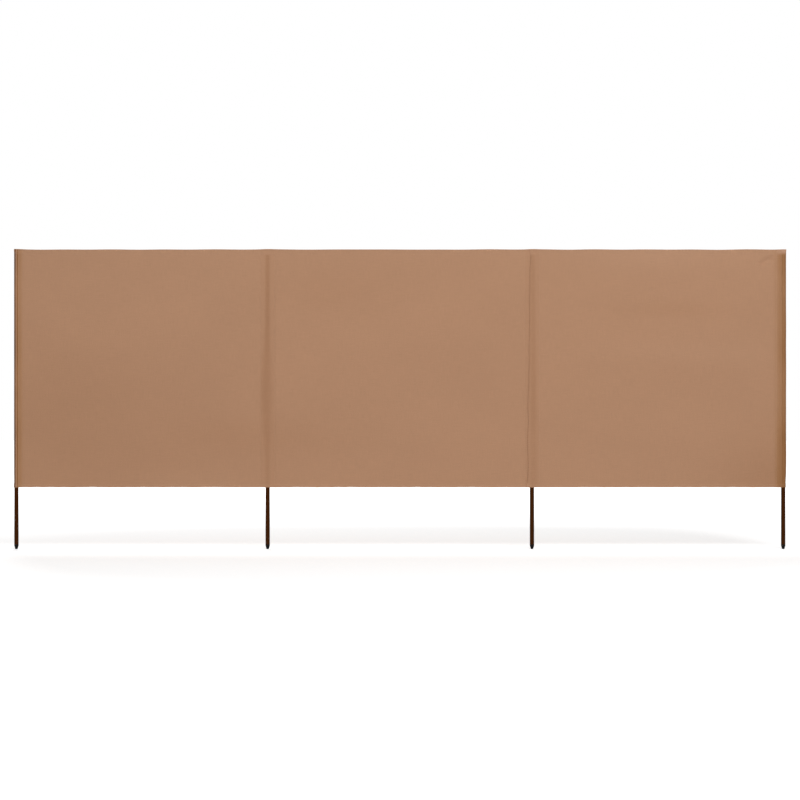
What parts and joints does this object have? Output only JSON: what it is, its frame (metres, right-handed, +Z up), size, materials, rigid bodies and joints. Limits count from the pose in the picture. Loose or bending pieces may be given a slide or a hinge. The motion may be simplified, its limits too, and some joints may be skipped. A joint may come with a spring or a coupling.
{
  "type": "beach windbreak",
  "caption": "Long low beach windbreak: a run of tan cloth bays sewn in sleeves round upright tube poles, whose bare pointed ends push into the sand. Outer bays fold about the inner poles.",
  "frame": {"origin": "centre of the flat foot of the left inner pole's point", "axes": "+X along the run of bays to the right as seen from the front, +Y to the back, +Z up along the poles"},
  "size_m": [3.8998, 0.0238, 1.514],
  "materials": {
    "cloth": "matte",
    "pole_tube": "gloss",
    "pole_point": "satin"
  },
  "bodies": {
    "middle_bay": {"left_inner_pole": "pole_tube", "left_inner_point": "pole_point", "left_inner_cap": "pole_point", "left_inner_sleeve": "cloth", "right_inner_pole": "pole_tube", "right_inner_point": "pole_point", "right_inner_cap": "pole_point", "right_inner_sleeve": "cloth", "middle_panel": "cloth", "middle_top_hem": "cloth", "middle_bottom_hem": "cloth"},
    "left_bay": {"left_end_pole": "pole_tube", "left_end_point": "pole_point", "left_end_cap": "pole_point", "left_end_sleeve": "cloth", "left_panel": "cloth", "left_top_hem": "cloth", "left_bottom_hem": "cloth"},
    "right_bay": {"right_end_pole": "pole_tube", "right_end_point": "pole_point", "right_end_cap": "pole_point", "right_end_sleeve": "cloth", "right_panel": "cloth", "right_top_hem": "cloth", "right_bottom_hem": "cloth"}
  },
  "joints": [
    {"name": "left_fold", "type": "hinge", "parent": "middle_bay", "child": "left_bay", "pos_m": [0, 0, 0], "axis": [0, 0, 1], "range_deg": [-90, 90]},
    {"name": "right_fold", "type": "hinge", "parent": "middle_bay", "child": "right_bay", "pos_m": [1.336, 0, 0], "axis": [0, 0, -1], "range_deg": [-90, 90]}
  ]
}
